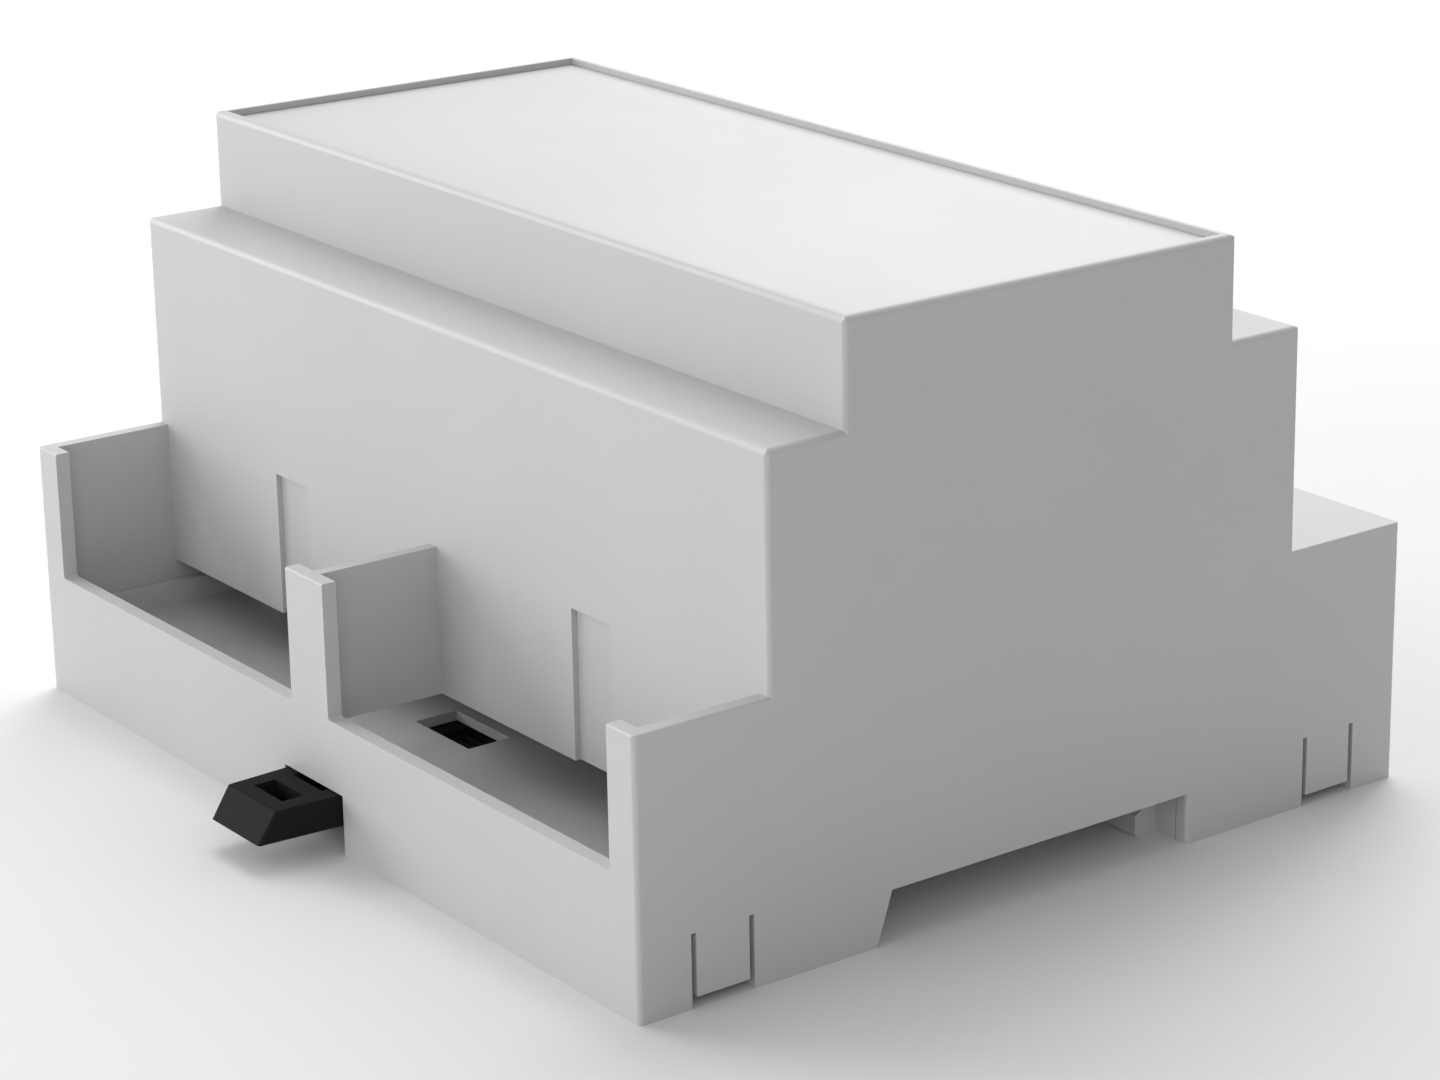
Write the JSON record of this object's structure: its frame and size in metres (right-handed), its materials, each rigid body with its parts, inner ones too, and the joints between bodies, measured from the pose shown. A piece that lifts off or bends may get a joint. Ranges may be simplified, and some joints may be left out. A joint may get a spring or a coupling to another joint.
{
  "type": "din rail enclosure",
  "caption": "Stepped light-grey plastic enclosure for rail mounting, with two open terminal trays along the clip side, a closed ledge on the hook side, an inset front panel and a sliding black rail clip.",
  "frame": {"origin": "centre of the rail seat, on the plane where the rail's flanges bear", "axes": "+X along the rail, +Y from the clip side to the hook side, +Z away from the rail towards the front panel"},
  "size_m": [0.106, 0.0986, 0.0583],
  "materials": {
    "housing_grey": "light-grey moulded plastic, very fine even texture",
    "base_grey": "light-grey moulded plastic, very fine even texture",
    "panel_grey": "light-grey moulded plate, smooth and slightly lighter than the housing",
    "clip_black": "black moulded plastic, slight sheen",
    "spring_black": "black moulded plastic"
  },
  "bodies": {
    "shell": {"housing": "housing_grey", "base": "base_grey", "front_panel": "panel_grey", "clip_spring": "spring_black"},
    "clip": {"din_clip": "clip_black"}
  },
  "joints": [
    {"name": "clip_slide", "type": "slide", "parent": "shell", "child": "clip", "axis": [0, -1, 0], "range_m": [0, 0.004], "stiffness_N_per_m": 1200, "springref_m": -0.001, "deforming": ["clip_spring"]}
  ]
}
